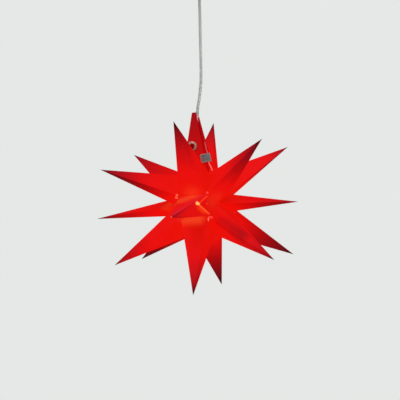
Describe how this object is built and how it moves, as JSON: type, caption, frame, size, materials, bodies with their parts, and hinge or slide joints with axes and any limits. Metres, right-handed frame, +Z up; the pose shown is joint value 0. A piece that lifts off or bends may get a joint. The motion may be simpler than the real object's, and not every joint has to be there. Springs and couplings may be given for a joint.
{
  "type": "moravian star",
  "caption": "Hanging many-pointed star lantern of red translucent foil on a clear cable from a round ceiling cup, lit by a small pull-out lamp inside.",
  "frame": {"origin": "centre of the ceiling plate's flat top face, which lies against the ceiling", "axes": "+Z up out of the ceiling plate, -Y towards the front that the picture shows, +X to the right"},
  "size_m": [0.1251, 0.1338, 0.2016],
  "materials": {
    "red_foil": "satin translucent foil, lit from inside",
    "clear_pin": "clear moulded plastic",
    "clip_steel": "dull bent sheet",
    "eyelet_brass": "rolled, dull",
    "cable_clear": "clear twin cable with grey wires",
    "stop_clear": "milky sleeve",
    "holder_white": "moulded",
    "lamp_warm": "warm white cast dome",
    "fitting_white": "moulded",
    "ball_steel": "turned"
  },
  "bodies": {
    "fitting": {"ceiling_plate": "fitting_white", "ceiling_canopy": "fitting_white", "cord_grip": "fitting_white"},
    "swivel": {"swivel_ball": "ball_steel"},
    "star": {"cable": "cable_clear", "cable_stop": "stop_clear", "lamp_holder": "holder_white", "eyelet": "eyelet_brass", "point_upper_front": "red_foil", "point_upper_back": "red_foil", "point_lower_front": "red_foil", "point_lower_back": "red_foil", "point_left": "red_foil", "point_right": "red_foil", "point_front": "red_foil", "point_back": "red_foil", "cable_point": "red_foil", "point_left_upper_front": "red_foil", "point_left_upper_back": "red_foil", "point_left_lower_front": "red_foil", "point_left_lower_back": "red_foil", "point_right_upper_front": "red_foil", "point_right_upper_back": "red_foil", "point_right_lower_front": "red_foil", "point_right_lower_back": "red_foil", "gusset_front_right": "red_foil", "gusset_front_left": "red_foil", "gusset_top_right": "red_foil", "gusset_top_left": "red_foil", "gusset_back_right": "red_foil", "gusset_back_left": "red_foil", "gusset_bottom_right": "red_foil", "gusset_bottom_left": "red_foil", "corner_pin_01": "clear_pin", "corner_pin_02": "clear_pin", "corner_pin_03": "clear_pin", "corner_pin_04": "clear_pin", "corner_pin_05": "clear_pin", "corner_pin_06": "clear_pin", "corner_pin_07": "clear_pin", "corner_pin_08": "clear_pin", "corner_pin_09": "clear_pin", "corner_pin_10": "clear_pin", "corner_pin_11": "clear_pin", "corner_pin_12": "clear_pin", "corner_pin_13": "clear_pin", "corner_pin_14": "clear_pin", "corner_pin_15": "clear_pin", "corner_pin_16": "clear_pin", "corner_pin_17": "clear_pin", "corner_pin_18": "clear_pin", "corner_pin_19": "clear_pin", "corner_pin_20": "clear_pin", "corner_pin_21": "clear_pin", "corner_pin_22": "clear_pin", "corner_pin_23": "clear_pin", "corner_pin_24": "clear_pin"},
    "clip": {"seam_clip": "clip_steel"},
    "lamp": {"led_lamp": "lamp_warm"}
  },
  "joints": [
    {"name": "star_turn", "type": "hinge", "parent": "fitting", "child": "swivel", "pos_m": [0, 0, -0.01565], "axis": [0, 0, 1], "continuous": true},
    {"name": "star_swing", "type": "hinge", "parent": "swivel", "child": "star", "pos_m": [0, 0, -0.01565], "axis": [0, 1, 0], "range_deg": [-20, 20]},
    {"name": "clip_slide", "type": "slide", "parent": "star", "child": "clip", "axis": [-0.2039, 0.145, 0.9682], "range_m": [0, 0.012]},
    {"name": "lamp_pull", "type": "slide", "parent": "star", "child": "lamp", "axis": [0, 0, -1], "range_m": [0, 0.0055]}
  ]
}
